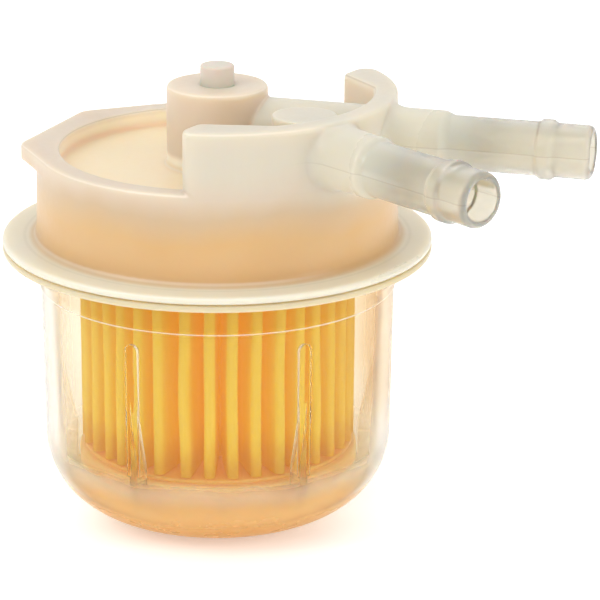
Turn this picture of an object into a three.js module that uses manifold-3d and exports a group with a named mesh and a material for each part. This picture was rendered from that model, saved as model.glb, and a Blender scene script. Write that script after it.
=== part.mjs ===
// Sealed in-line fuel filter: a translucent cap with two hose tails welded to a clear bowl,
// around a pleated paper element. Millimetres, +Z up. The origin is the centre of the bowl's
// flat base, and +X points out between the two hose tails.

import * as THREE from "three";
import { mergeVertices } from "three/addons/utils/BufferGeometryUtils.js";
import Module from "manifold-3d";

const wasm = await Module();
wasm.setup();

// ---- driving dimensions ----

const GAP = 0.3; // clearance kept between pieces that touch
const ROUND = 56; // facets of a large round body
const MEDIUM_ROUND = 36; // facets of a boss or a ring inside
const SMALL_ROUND = 20; // facets of a bore, a tube or a post

// flanges of the cap and the bowl
const FLANGE_TOP = 43.9;
const FLANGE_RADIUS = 33;
const CAP_FLANGE_THICKNESS = 1.1;
const BOWL_FLANGE_THICKNESS = 1;
const FLANGE_EDGE = 0.35; // chamfer of the flange edges
const WELD_INNER = 29.2;
const WELD_OUTER = 31.2;
const WELD_GROOVE = 0.45;

// drum of the cap
const DRUM_FOOT_RADIUS = 27.8;
const DRUM_RIM_RADIUS = 27.5;
const DRUM_INNER = 25.9;
const DRUM_FILLET = 1.2;
const RIM_TOP = FLANGE_TOP + 13.6;
const RECESS_RADIUS = 24;
const RECESS_FLOOR = RIM_TOP - 2.8;
const FLOOR_THICKNESS = 1.8;

// mounting tab on the rim
const TAB_EDGE = 28.4;
const TAB_HALF_WIDTH = 12.4;
const TAB_CORNER = 3;
const TAB_THICKNESS = 2.4;
const TAB_TURN = 10.5; // the tab sits this many degrees past -X

// raised C-shaped wall
const WALL_TOP = FLANGE_TOP + 22.8;
const WALL_OUTER = 27.4;
const WALL_INNER = 23.8;
const WALL_FAR_END = 11.2; // where the end at +Y stops
const WALL_NEAR_END = 9.6; // where the end at -Y stops
const WALL_CORNER = 2.2;
const LUG_INNER = 21.1; // distance of a thickened end from the filter's axis
const LUG_START = 35; // angle at which the thickening starts, in degrees

// central boss, outlet riser and the socket for the element's neck
const BOSS_RADIUS = 7.75;
const BOSS_TOP = FLANGE_TOP + 23.3;
const RISER_BORE = 3;
const SOCKET_OUTER = 8;
const SOCKET_BORE = 6.5;
const SOCKET_TOP = FLANGE_TOP + 11.4;
const SOCKET_MOUTH = FLANGE_TOP + 7;

// plug on the boss
const PLUG_RADIUS = 2.6;
const PLUG_TOP = BOSS_TOP + 3;
const PLUG_EDGE = 0.3; // chamfer of the plug's ends
const PLUG_STEM = 1.5;
const PLUG_SEAT_DEPTH = 0.4;

// hose tails for 8 mm (5/16 in) fuel hose: degrees from +X, height, and distance of the tip
const INLET_TAIL = { angle: -16, height: FLANGE_TOP + 17.7, tip: 57 };
const OUTLET_TAIL = { angle: 17, height: FLANGE_TOP + 17.1, tip: 57.8 };
const TAIL_RADIUS = 4.05;
const TAIL_ROOT_RADIUS = 4.6;
const TAIL_ROOT_END = 35.5;
const TAIL_BORE = 3;
const BEAD_RADIUS = 4.5;
const BEAD_MIDDLE = 50.9;
const BEAD_WIDTH = 2.5;
const ROOT_FLARE = 6.2;
const ELBOW_DISTANCE = 20;
const ELBOW_RADIUS = 4.8;

// bowl
const BOWL_BASE_RADIUS = 15;
const BOWL_CORNER = 12;
const BOWL_WALL = 1.8;
const BOWL_RADIUS = BOWL_BASE_RADIUS + BOWL_CORNER; // where the corner ends
const BOWL_STEP_RADIUS = 27.3; // under the step
const BOWL_NECK_RADIUS = 27.55; // above the step
const BOWL_STEP_HEIGHT = FLANGE_TOP - 7.5;

// guide ribs inside the bowl
const RIB_COUNT = 6;
const RIB_PHASE = -85.6;
const RIB_WIDTH = 2.1;
const FIN_WIDTH = 1.2;
const RIB_PAD_TOP = FLANGE_TOP - 10.7;
const RIB_PAD_INNER = 24.8;
const RIB_FIN_TOP = FLANGE_TOP - 14;
const RIB_FIN_FOOT = FLANGE_TOP - 31;
const RIB_FIN_INNER = 22.2;
const RIB_LEDGE_INNER = 18;

// filter element
const PLEAT_COUNT = 36;
const PLEAT_OUTER = 21.5;
const PLEAT_INNER = 12;
const PAPER_THICKNESS = 0.5;
const PAPER_BOTTOM = FLANGE_TOP - 32.5;
const PAPER_TOP = FLANGE_TOP + 3.8;
const BOND_THICKNESS = 0.7;
const BOND_INNER = 11.5;
const BOND_OUTER = 21.2;
const PLATE_RADIUS = 21.8;
const PLATE_THICKNESS = 1.5;
const PLATE_SKIRT_DEPTH = 2.8;
const PLATE_SKIRT_WALL = 1.4;
const CORE_OUTER = 10.9;
const CORE_INNER = 10.1;
const CORE_WINDOWS_ROUND = 8;
const CORE_WINDOW_ROWS = 5;
const CORE_WINDOW_WIDTH = 4.4;
const CORE_WINDOW_HEIGHT = 4.6;
const NECK_BORE = 3.4;
const NECK_RADIUS = 4.6;
const NECK_LEDGE = 6.1;
const NECK_TOP = FLANGE_TOP + 11;
const SEAL_SECTION = 0.65;

// heights that follow from the ones above
const CAP_FLANGE_UNDERSIDE = FLANGE_TOP - CAP_FLANGE_THICKNESS;
const BOWL_FLANGE_TOP = CAP_FLANGE_UNDERSIDE - GAP;
const BOWL_FLANGE_UNDERSIDE = BOWL_FLANGE_TOP - BOWL_FLANGE_THICKNESS;
const FLOOR_UNDERSIDE = RECESS_FLOOR - FLOOR_THICKNESS;
const LOWER_PLATE_TOP = PAPER_BOTTOM - 2 * GAP - BOND_THICKNESS;
const UPPER_PLATE_UNDERSIDE = PAPER_TOP + 2 * GAP + BOND_THICKNESS;
const UPPER_PLATE_TOP = UPPER_PLATE_UNDERSIDE + PLATE_THICKNESS;
const RISER_TOP = OUTLET_TAIL.height + RISER_BORE;
const SEAL_RADIUS = (NECK_RADIUS + SOCKET_BORE) / 2;
const SEAL_HEIGHT = NECK_TOP - 1;

// ---- solids ----

const radians = THREE.MathUtils.degToRad;

function weld(geometry) {
  const plain = geometry.clone();
  plain.deleteAttribute("normal");
  plain.deleteAttribute("uv");
  return mergeVertices(plain, 1e-4);
}

function signedVolume(positions, triangles) {
  const a = new THREE.Vector3();
  const b = new THREE.Vector3();
  const c = new THREE.Vector3();
  let volume = 0;
  for (let i = 0; i < triangles.length; i += 3) {
    a.fromArray(positions, 3 * triangles[i]);
    b.fromArray(positions, 3 * triangles[i + 1]);
    c.fromArray(positions, 3 * triangles[i + 2]);
    volume += a.dot(b.cross(c)) / 6;
  }
  return volume;
}

// A closed three.js geometry as a solid with its faces pointing out.
function solid(geometry) {
  const welded = weld(geometry);
  const positions = new Float32Array(welded.attributes.position.array);
  const index = Array.from(welded.index.array);
  const triangles = [];
  for (let i = 0; i < index.length; i += 3) {
    const [a, b, c] = index.slice(i, i + 3);
    if (a !== b && b !== c && c !== a) {
      triangles.push(a, b, c);
    }
  }
  if (signedVolume(positions, triangles) < 0) {
    triangles.reverse();
  }
  const mesh = new wasm.Mesh({
    numProp: 3,
    vertProperties: positions,
    triVerts: new Uint32Array(triangles),
  });
  return new wasm.Manifold(mesh);
}

function geometryOf(body) {
  const mesh = body.getMesh();
  const geometry = new THREE.BufferGeometry();
  geometry.setAttribute("position", new THREE.BufferAttribute(new Float32Array(mesh.vertProperties), 3));
  geometry.setIndex(new THREE.BufferAttribute(new Uint32Array(mesh.triVerts), 1));
  geometry.computeVertexNormals();
  return geometry;
}

// Body turned about Z from [radius, height] points.
function turned(points, facets = ROUND) {
  const profile = points.map(([radius, height]) => new THREE.Vector2(radius, height));
  const geometry = new THREE.LatheGeometry(profile, facets);
  geometry.rotateX(Math.PI / 2);
  return solid(geometry);
}

function ring(inner, outer, bottom, top, facets = ROUND) {
  return turned([
    [inner, bottom],
    [outer, bottom],
    [outer, top],
    [inner, top],
    [inner, bottom],
  ], facets);
}

function cylinder(radius, bottom, top, facets = SMALL_ROUND) {
  return turned([
    [0, bottom],
    [radius, bottom],
    [radius, top],
    [0, top],
  ], facets);
}

// Turned body laid down so that its axis is that of a hose tail.
function radial(points, tail) {
  const profile = points.map(([radius, along]) => new THREE.Vector2(radius, along));
  const geometry = new THREE.LatheGeometry(profile, SMALL_ROUND);
  geometry.rotateZ(-Math.PI / 2);
  geometry.rotateZ(radians(tail.angle));
  geometry.translate(0, 0, tail.height);
  return solid(geometry);
}

function prism(shape, bottom, top, curveSegments = ROUND / 2) {
  const geometry = new THREE.ExtrudeGeometry(shape, {
    depth: top - bottom,
    bevelEnabled: false,
    curveSegments,
  });
  geometry.translate(0, 0, bottom);
  return solid(geometry);
}

// Points of a round stretch in a turned profile.
function arc(centreRadius, centreHeight, radius, fromAngle, toAngle, steps) {
  const points = [];
  for (let i = 0; i <= steps; i += 1) {
    const angle = radians(fromAngle + ((toAngle - fromAngle) * i) / steps);
    points.push([centreRadius + radius * Math.cos(angle), centreHeight + radius * Math.sin(angle)]);
  }
  return points;
}

// ---- cap ----

function capBody() {
  const flangeEdge = FLANGE_RADIUS - FLANGE_EDGE;
  return turned([
    [0, FLOOR_UNDERSIDE],
    [DRUM_INNER - 1, FLOOR_UNDERSIDE],
    [DRUM_INNER, FLOOR_UNDERSIDE - 1],
    [DRUM_INNER, CAP_FLANGE_UNDERSIDE],
    [WELD_INNER, CAP_FLANGE_UNDERSIDE],
    [WELD_INNER, CAP_FLANGE_UNDERSIDE + WELD_GROOVE],
    [WELD_OUTER, CAP_FLANGE_UNDERSIDE + WELD_GROOVE],
    [WELD_OUTER, CAP_FLANGE_UNDERSIDE],
    [flangeEdge, CAP_FLANGE_UNDERSIDE],
    [FLANGE_RADIUS, CAP_FLANGE_UNDERSIDE + FLANGE_EDGE],
    [FLANGE_RADIUS, FLANGE_TOP - FLANGE_EDGE],
    [flangeEdge, FLANGE_TOP],
    ...arc(DRUM_FOOT_RADIUS + DRUM_FILLET, FLANGE_TOP + DRUM_FILLET, DRUM_FILLET, 270, 180, 3),
    [DRUM_RIM_RADIUS, RIM_TOP - 0.4],
    [DRUM_RIM_RADIUS - 0.4, RIM_TOP],
    [RECESS_RADIUS, RIM_TOP],
    [RECESS_RADIUS, RECESS_FLOOR],
    [0, RECESS_FLOOR],
  ]);
}

// Flat-edged plate on the rim: two rounded corners run in tangents to the drum.
function mountingTab() {
  const cornerX = -(TAB_EDGE - TAB_CORNER);
  const cornerY = TAB_HALF_WIDTH - TAB_CORNER;
  const cornerDistance = Math.hypot(cornerX, cornerY);
  const cornerAngle = Math.atan2(cornerY, cornerX);
  const tangent = cornerAngle - Math.acos((DRUM_RIM_RADIUS - TAB_CORNER) / cornerDistance);
  const joinRadius = (RECESS_RADIUS + DRUM_RIM_RADIUS) / 2;
  const shape = new THREE.Shape();
  shape.moveTo(DRUM_RIM_RADIUS * Math.cos(tangent), DRUM_RIM_RADIUS * Math.sin(tangent));
  shape.absarc(cornerX, cornerY, TAB_CORNER, tangent, Math.PI, false);
  shape.absarc(cornerX, -cornerY, TAB_CORNER, Math.PI, 2 * Math.PI - tangent, false);
  shape.lineTo(DRUM_RIM_RADIUS * Math.cos(tangent), -DRUM_RIM_RADIUS * Math.sin(tangent));
  shape.absarc(0, 0, joinRadius, 2 * Math.PI - tangent, tangent, true);
  return prism(shape, RIM_TOP - TAB_THICKNESS, RIM_TOP, 10).rotate([0, 0, TAB_TURN]);
}

// Corner of the raised wall where an end face, square to X, meets the round outer face.
function wallCorner(endX) {
  const centreX = endX + WALL_CORNER;
  const centreY = Math.sqrt((WALL_OUTER - WALL_CORNER) ** 2 - centreX ** 2);
  return {
    x: centreX,
    y: centreY,
    angle: Math.atan2(centreY, centreX),
    lugY: Math.sqrt(LUG_INNER ** 2 - endX ** 2),
  };
}

function raisedWall() {
  const near = wallCorner(WALL_NEAR_END);
  const far = wallCorner(WALL_FAR_END);
  const lugStart = radians(LUG_START);
  const shape = new THREE.Shape();
  shape.moveTo(WALL_NEAR_END, -near.lugY);
  shape.absarc(near.x, -near.y, WALL_CORNER, Math.PI, 2 * Math.PI - near.angle, false);
  shape.absarc(0, 0, WALL_OUTER, -near.angle, far.angle, false);
  shape.absarc(far.x, far.y, WALL_CORNER, far.angle, Math.PI, false);
  shape.lineTo(WALL_FAR_END, far.lugY);
  shape.absarc(0, 0, WALL_INNER, lugStart, -lugStart, true);
  return prism(shape, RECESS_FLOOR - FLOOR_THICKNESS / 2, WALL_TOP, 16);
}

function hoseTail(tail, innerEnd) {
  const beadStart = BEAD_MIDDLE - BEAD_WIDTH / 2;
  const beadEnd = BEAD_MIDDLE + BEAD_WIDTH / 2;
  return radial([
    [0, innerEnd],
    [TAIL_ROOT_RADIUS, innerEnd],
    [TAIL_ROOT_RADIUS, TAIL_ROOT_END],
    [TAIL_RADIUS, TAIL_ROOT_END + 1.1],
    [TAIL_RADIUS, beadStart],
    [BEAD_RADIUS, beadStart + 0.7],
    [BEAD_RADIUS, beadEnd - 0.7],
    [TAIL_RADIUS, beadEnd],
    [TAIL_RADIUS, tail.tip - 0.4],
    [TAIL_RADIUS - 0.3, tail.tip],
    [0, tail.tip],
  ], tail);
}

// The flare where a hose tail leaves the raised wall, kept just below the top of the wall.
function rootFlare(tail) {
  return radial([
    [0, WALL_INNER + 1],
    [ROOT_FLARE, WALL_INNER + 1],
    [ROOT_FLARE, WALL_OUTER - 0.4],
    [TAIL_ROOT_RADIUS + 0.4, WALL_OUTER + 1.4],
    [TAIL_ROOT_RADIUS, WALL_OUTER + 3],
    [0, WALL_OUTER + 3],
  ], tail).trimByPlane([0, 0, -1], 0.3 - WALL_TOP);
}

function tailBore(tail, innerEnd) {
  return radial([
    [0, innerEnd],
    [TAIL_BORE, innerEnd],
    [TAIL_BORE, tail.tip + 1],
    [0, tail.tip + 1],
  ], tail);
}

function inletElbow() {
  const x = ELBOW_DISTANCE * Math.cos(radians(INLET_TAIL.angle));
  const y = ELBOW_DISTANCE * Math.sin(radians(INLET_TAIL.angle));
  const block = cylinder(ELBOW_RADIUS, RECESS_FLOOR - 1, INLET_TAIL.height + ELBOW_RADIUS);
  const drop = cylinder(TAIL_BORE, FLOOR_UNDERSIDE - 1, INLET_TAIL.height + TAIL_BORE);
  return { block: block.translate([x, y, 0]), drop: drop.translate([x, y, 0]) };
}

function upperHousing() {
  const elbow = inletElbow();
  const solids = [
    mountingTab(),
    raisedWall(),
    cylinder(BOSS_RADIUS, RECESS_FLOOR - 1, BOSS_TOP, MEDIUM_ROUND),
    cylinder(SOCKET_OUTER, SOCKET_MOUTH, RECESS_FLOOR - 1, MEDIUM_ROUND),
    elbow.block,
    hoseTail(INLET_TAIL, ELBOW_DISTANCE),
    hoseTail(OUTLET_TAIL, 0),
    rootFlare(INLET_TAIL),
    rootFlare(OUTLET_TAIL),
  ];
  const cuts = [
    elbow.drop,
    tailBore(INLET_TAIL, ELBOW_DISTANCE),
    tailBore(OUTLET_TAIL, 0),
    cylinder(SOCKET_BORE, SOCKET_MOUTH - 1, SOCKET_TOP, MEDIUM_ROUND),
    cylinder(RISER_BORE, SOCKET_TOP - 1, RISER_TOP),
    cylinder(PLUG_STEM + GAP, RISER_TOP - 1, BOSS_TOP + 1),
    cylinder(PLUG_RADIUS + GAP, BOSS_TOP - PLUG_SEAT_DEPTH, BOSS_TOP + 1),
  ];
  const joined = solids.reduce((whole, piece) => whole.add(piece), capBody());
  return cuts.reduce((whole, piece) => whole.subtract(piece), joined);
}

// ---- bowl ----

function bowlShell() {
  const flangeEdge = FLANGE_RADIUS - FLANGE_EDGE;
  const inside = BOWL_CORNER - BOWL_WALL;
  return turned([
    [0, 0],
    ...arc(BOWL_BASE_RADIUS, BOWL_CORNER, BOWL_CORNER, -90, 0, 7),
    [BOWL_STEP_RADIUS, BOWL_STEP_HEIGHT - 0.2],
    [BOWL_NECK_RADIUS, BOWL_STEP_HEIGHT],
    [BOWL_NECK_RADIUS, BOWL_FLANGE_UNDERSIDE - 0.6],
    [BOWL_NECK_RADIUS + 0.6, BOWL_FLANGE_UNDERSIDE],
    [flangeEdge, BOWL_FLANGE_UNDERSIDE],
    [FLANGE_RADIUS, BOWL_FLANGE_UNDERSIDE + FLANGE_EDGE],
    [FLANGE_RADIUS, BOWL_FLANGE_TOP - FLANGE_EDGE],
    [flangeEdge, BOWL_FLANGE_TOP],
    [WELD_OUTER, BOWL_FLANGE_TOP],
    [WELD_OUTER, BOWL_FLANGE_TOP - WELD_GROOVE],
    [WELD_INNER, BOWL_FLANGE_TOP - WELD_GROOVE],
    [WELD_INNER, BOWL_FLANGE_TOP],
    [BOWL_NECK_RADIUS - BOWL_WALL, BOWL_FLANGE_TOP],
    [BOWL_NECK_RADIUS - BOWL_WALL, BOWL_STEP_HEIGHT],
    ...arc(BOWL_BASE_RADIUS, BOWL_CORNER, inside, 0, -90, 7),
    [0, BOWL_WALL],
  ]);
}

// One rib in the plane of radius and height, standing at angle 0.
function guideRib() {
  const rootRadius = BOWL_RADIUS - BOWL_WALL / 2;
  const rootArc = BOWL_CORNER - BOWL_WALL / 2;
  const ledge = LOWER_PLATE_TOP - PLATE_SKIRT_DEPTH - GAP;
  const footAngle = -Math.acos((RIB_LEDGE_INNER - BOWL_BASE_RADIUS) / rootArc);
  const fin = new THREE.Shape();
  fin.moveTo(rootRadius, RIB_FIN_TOP);
  fin.lineTo(RIB_FIN_INNER, RIB_FIN_FOOT);
  fin.lineTo(RIB_FIN_INNER, ledge);
  fin.lineTo(RIB_LEDGE_INNER, ledge);
  fin.absarc(BOWL_BASE_RADIUS, BOWL_CORNER, rootArc, footAngle, 0, false);
  const pad = new THREE.Shape();
  pad.moveTo(-RIB_WIDTH / 2, BOWL_CORNER);
  pad.lineTo(RIB_WIDTH / 2, BOWL_CORNER);
  pad.absarc(0, RIB_PAD_TOP - RIB_WIDTH / 2, RIB_WIDTH / 2, 0, Math.PI, false);
  const finGeometry = new THREE.ExtrudeGeometry(fin, { depth: FIN_WIDTH, bevelEnabled: false, curveSegments: 8 });
  finGeometry.translate(0, 0, -FIN_WIDTH / 2);
  finGeometry.rotateX(Math.PI / 2);
  const padDepth = rootRadius - RIB_PAD_INNER;
  const padGeometry = new THREE.ExtrudeGeometry(pad, { depth: padDepth, bevelEnabled: false, curveSegments: 10 });
  padGeometry.rotateX(Math.PI / 2);
  padGeometry.rotateZ(Math.PI / 2);
  padGeometry.translate(RIB_PAD_INNER, 0, 0);
  return solid(finGeometry).add(solid(padGeometry));
}

function lowerBowl() {
  let bowl = bowlShell();
  const rib = guideRib();
  for (let i = 0; i < RIB_COUNT; i += 1) {
    bowl = bowl.add(rib.rotate([0, 0, RIB_PHASE + (360 * i) / RIB_COUNT]));
  }
  return bowl;
}

function flangeWeldRing() {
  return ring(
    WELD_INNER + GAP,
    WELD_OUTER - GAP,
    BOWL_FLANGE_TOP - WELD_GROOVE + GAP,
    CAP_FLANGE_UNDERSIDE + WELD_GROOVE - GAP,
  );
}

function bossPlug() {
  const stemBottom = RISER_TOP + GAP;
  const headBottom = BOSS_TOP - PLUG_SEAT_DEPTH + GAP;
  return turned([
    [0, stemBottom],
    [PLUG_STEM - PLUG_EDGE, stemBottom],
    [PLUG_STEM, stemBottom + PLUG_EDGE],
    [PLUG_STEM, headBottom],
    [PLUG_RADIUS, headBottom],
    [PLUG_RADIUS, PLUG_TOP - PLUG_EDGE],
    [PLUG_RADIUS - PLUG_EDGE, PLUG_TOP],
    [0, PLUG_TOP],
  ], SMALL_ROUND);
}

// ---- filter element ----

// Outline of one side of the paper: blunt folds at the outer and the inner radius.
function pleatOutline(outer, inner, outerFold, innerFold) {
  const points = [];
  const pitch = (2 * Math.PI) / PLEAT_COUNT;
  for (let i = 0; i < PLEAT_COUNT; i += 1) {
    const ridge = i * pitch;
    const valley = ridge + pitch / 2;
    const outerHalf = outerFold / 2 / outer;
    const innerHalf = innerFold / 2 / inner;
    points.push([outer, ridge - outerHalf], [outer, ridge + outerHalf]);
    points.push([inner, valley - innerHalf], [inner, valley + innerHalf]);
  }
  return points.map(([radius, angle]) => new THREE.Vector2(radius * Math.cos(angle), radius * Math.sin(angle)));
}

function pleatedPaper() {
  const wideFold = 1.5;
  const narrowFold = wideFold - 2 * PAPER_THICKNESS;
  const shape = new THREE.Shape(pleatOutline(
    PLEAT_OUTER, PLEAT_INNER + PAPER_THICKNESS, wideFold, narrowFold));
  const inside = pleatOutline(PLEAT_OUTER - PAPER_THICKNESS, PLEAT_INNER, narrowFold, wideFold);
  shape.holes.push(new THREE.Path(inside));
  return prism(shape, PAPER_BOTTOM, PAPER_TOP);
}

function bondBed(bottom) {
  return ring(BOND_INNER, BOND_OUTER, bottom, bottom + BOND_THICKNESS, MEDIUM_ROUND);
}

function upperEndPlate() {
  return turned([
    [NECK_BORE, UPPER_PLATE_UNDERSIDE],
    [PLATE_RADIUS, UPPER_PLATE_UNDERSIDE],
    [PLATE_RADIUS, UPPER_PLATE_TOP],
    [NECK_LEDGE, UPPER_PLATE_TOP],
    [NECK_LEDGE, SEAL_HEIGHT - SEAL_SECTION - GAP],
    [NECK_RADIUS, SEAL_HEIGHT - SEAL_SECTION - GAP],
    [NECK_RADIUS, NECK_TOP],
    [NECK_BORE, NECK_TOP],
    [NECK_BORE, UPPER_PLATE_UNDERSIDE],
  ], MEDIUM_ROUND);
}

function lowerEndPlate() {
  const skirtBottom = LOWER_PLATE_TOP - PLATE_SKIRT_DEPTH;
  const underside = LOWER_PLATE_TOP - PLATE_THICKNESS;
  const skirtInner = PLATE_RADIUS - PLATE_SKIRT_WALL;
  return turned([
    [0, underside],
    [skirtInner, underside],
    [skirtInner, skirtBottom],
    [PLATE_RADIUS, skirtBottom],
    [PLATE_RADIUS, LOWER_PLATE_TOP],
    [0, LOWER_PLATE_TOP],
  ], MEDIUM_ROUND);
}

function centreTube() {
  const bottom = LOWER_PLATE_TOP + GAP;
  const top = UPPER_PLATE_UNDERSIDE - GAP;
  const rowPitch = (top - bottom) / CORE_WINDOW_ROWS;
  const reach = 2 * CORE_OUTER;
  let tube = ring(CORE_INNER, CORE_OUTER, bottom, top, MEDIUM_ROUND);
  for (let row = 0; row < CORE_WINDOW_ROWS; row += 1) {
    const height = bottom + rowPitch * (row + 0.5);
    for (let i = 0; i < CORE_WINDOWS_ROUND / 2; i += 1) {
      const bar = new THREE.BoxGeometry(2 * reach, CORE_WINDOW_WIDTH, CORE_WINDOW_HEIGHT);
      bar.rotateZ((2 * Math.PI * i) / CORE_WINDOWS_ROUND);
      bar.translate(0, 0, height);
      tube = tube.subtract(solid(bar));
    }
  }
  return tube;
}

function neckSeal() {
  const section = arc(SEAL_RADIUS, SEAL_HEIGHT, SEAL_SECTION, 0, 360, 6);
  return turned(section, SMALL_ROUND);
}

// ---- materials ----

function plastic(color, roughness, opacity = 1) {
  return new THREE.MeshStandardMaterial({
    color,
    roughness,
    metalness: 0,
    opacity,
    transparent: opacity < 1,
  });
}

const capPlastic = plastic(0xe6dcc6, 0.35, 0.85);
const bowlPlastic = plastic(0xf0e6d2, 0.12, 0.35);
const weldPlastic = plastic(0xd6b58a, 0.4);
const plugPlastic = plastic(0xd2cdb9, 0.4, 0.9);
const paper = plastic(0xf0bb4b, 0.85);
const platePlastic = plastic(0xe9c98f, 0.45);
const corePlastic = plastic(0xe8dcc4, 0.5);
const adhesive = plastic(0xd9962f, 0.35);
const sealRubber = plastic(0x1c1c1c, 0.7);

// ---- assembly ----

const filter = new THREE.Group();
filter.name = "fuel_filter";

function place(name, body, material) {
  const mesh = new THREE.Mesh(geometryOf(body), material);
  mesh.name = name;
  filter.add(mesh);
}

place("upper_housing", upperHousing(), capPlastic);
place("lower_bowl", lowerBowl(), bowlPlastic);
place("flange_weld_ring", flangeWeldRing(), weldPlastic);
place("boss_plug", bossPlug(), plugPlastic);
place("pleated_paper", pleatedPaper(), paper);
place("upper_end_plate", upperEndPlate(), platePlastic);
place("lower_end_plate", lowerEndPlate(), platePlastic);
place("centre_tube", centreTube(), corePlastic);
place("upper_bond_bed", bondBed(PAPER_TOP + GAP), adhesive);
place("lower_bond_bed", bondBed(PAPER_BOTTOM - GAP - BOND_THICKNESS), adhesive);
place("neck_seal", neckSeal(), sealRubber);

export default filter;
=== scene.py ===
# Fuel filter: the looks. A milky moulded cap with two hose tails, welded to a clear bowl
# around a pleated paper element. Shapes are worked out in millimetres and scaled to metres.

import math
import random

import bmesh
import bpy
from mathutils import Matrix, Vector, noise


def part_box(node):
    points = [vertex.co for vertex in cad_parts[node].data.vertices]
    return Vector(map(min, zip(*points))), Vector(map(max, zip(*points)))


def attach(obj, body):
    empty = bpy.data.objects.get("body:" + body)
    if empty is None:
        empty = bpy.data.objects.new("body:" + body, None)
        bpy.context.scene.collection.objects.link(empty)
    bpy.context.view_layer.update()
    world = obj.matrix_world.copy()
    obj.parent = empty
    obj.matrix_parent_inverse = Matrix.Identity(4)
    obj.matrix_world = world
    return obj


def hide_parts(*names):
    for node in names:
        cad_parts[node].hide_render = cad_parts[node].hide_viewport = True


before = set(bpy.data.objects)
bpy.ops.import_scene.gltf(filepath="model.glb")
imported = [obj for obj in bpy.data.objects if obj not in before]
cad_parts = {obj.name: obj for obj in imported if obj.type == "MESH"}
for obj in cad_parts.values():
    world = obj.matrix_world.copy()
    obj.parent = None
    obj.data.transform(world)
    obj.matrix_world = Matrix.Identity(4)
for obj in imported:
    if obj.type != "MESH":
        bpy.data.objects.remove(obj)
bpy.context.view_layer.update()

MM = 0.001


def box_mm(node):
    low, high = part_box(node)
    return low / MM, high / MM


# ---- sizes, in millimetres ----

cap_low, cap_high = box_mm("upper_housing")
bowl_high = box_mm("lower_bowl")[1]
paper_low, paper_high = box_mm("pleated_paper")
plug_low, plug_high = box_mm("boss_plug")
plate_low, plate_high = box_mm("lower_end_plate")

FLANGE_RADIUS = bowl_high.x
FLANGE_EDGE = 0.35
CAP_UNDERSIDE = cap_low.z
CAP_FLANGE = 1.1
FLANGE_TOP = CAP_UNDERSIDE + CAP_FLANGE
BOWL_RISE = 0.15  # takes up half of the clearance between the flanges
BOWL_TOP = bowl_high.z + BOWL_RISE
BOWL_FLANGE = 1.0
WELD_WIDTH = 1.4

DRUM_FOOT_RADIUS = 27.8
DRUM_RIM_RADIUS = 27.5
DRUM_INNER = 25.9
RIM_TOP = FLANGE_TOP + 13.6
RECESS_RADIUS = 24
RECESS_FLOOR = RIM_TOP - 2.8
FLOOR_UNDERSIDE = RECESS_FLOOR - 1.8
SOCKET_MOUTH = FLANGE_TOP + 7
SOCKET_TOP = FLANGE_TOP + 11.4
SOCKET_OUTER = 8
SOCKET_BORE = 6.5

TAB_EDGE = 28.4
TAB_TURN = 10.5  # degrees past -X
TAB_HALF_WIDTH = 12.4
TAB_CORNER = 3
TAB_THICKNESS = 2.4

WALL_TOP = FLANGE_TOP + 22.8
WALL_OUTER = 27.45
WALL_INNER = 23.8
WALL_FAR_END = 11.2
WALL_NEAR_END = 9.6
WALL_CORNER = 2.2
LUG_INNER = 21.1
LUG_START = 35  # degrees from +X
LUG_BEVEL = 0.5

BOSS_RADIUS = 7.75
BOSS_TOP = cap_high.z
RISER_BORE = 3
PLUG_RADIUS = plug_high.x
PLUG_STEM = 1.5
PLUG_SEAT_DEPTH = 0.4

# hose tails: degrees from +X, height, and distance of the tip from the filter's axis
INLET_TAIL = {"angle": -16, "height": FLANGE_TOP + 17.7, "tip": 57.0}
OUTLET_TAIL = {"angle": 17, "height": FLANGE_TOP + 17.1, "tip": 57.8}
TAIL_RADIUS = 4.05
TAIL_ROOT_RADIUS = 4.6
TAIL_ROOT_END = 35.5
TAIL_BORE = 3
OUTLET_START = 3.5
BEAD_RADIUS = 4.5
BEAD_MIDDLE = 50.9
BEAD_WIDTH = 2.5
FLARE_SPREAD = 2.0
FLARE_START = WALL_OUTER - 0.9
FLARE_LENGTH = 3.2
FLARE_TOP = WALL_TOP - 0.4
ELBOW_DISTANCE = 20
ELBOW_RADIUS = 4.8

BOWL_BASE_RADIUS = 15
BOWL_CORNER = 12
BOWL_WALL = 1.8
BOWL_RADIUS = BOWL_BASE_RADIUS + BOWL_CORNER
BOWL_STEP_RADIUS = 27.3
BOWL_NECK_RADIUS = 27.55
BOWL_STEP_HEIGHT = FLANGE_TOP - 7.5

RIB_COUNT = 6
RIB_PHASE = -85.6  # degrees from +X to the first rib
RIB_WIDTH = 2.1
FIN_WIDTH = 1.2
RIB_PAD_TOP = FLANGE_TOP - 10.7
RIB_PAD_INNER = 24.8
RIB_FIN_TOP = FLANGE_TOP - 14
RIB_FIN_FOOT = FLANGE_TOP - 31
RIB_FIN_INNER = 22.2
RIB_LEDGE_INNER = 18
RIB_EDGE = 0.25

PLEAT_COUNT = 36
PLEAT_OUTER = paper_high.x
PLEAT_INNER = 12
PLEAT_LEVELS = 36
PLEAT_SEED = 7
CREASE_SEED = 3.0
RIDGE_WIDTH = 1.3
VALLEY_WIDTH = 0.9
PAPER_THICKNESS = 0.4
BOND_INNER = 11.5
PLATE_THICKNESS = 1.5
PLATE_SKIRT_WALL = 1.4
NECK_BORE = 3.4
NECK_RADIUS = 4.6
NECK_LEDGE = 6.1
NECK_HEIGHT = 1.95
CORE_WALL = 0.8
CORE_WINDOWS_ROUND = 8
CORE_WINDOW_ROWS = 5
CORE_WINDOW_WIDTH = 4.4
CORE_WINDOW_HEIGHT = 4.6

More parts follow.
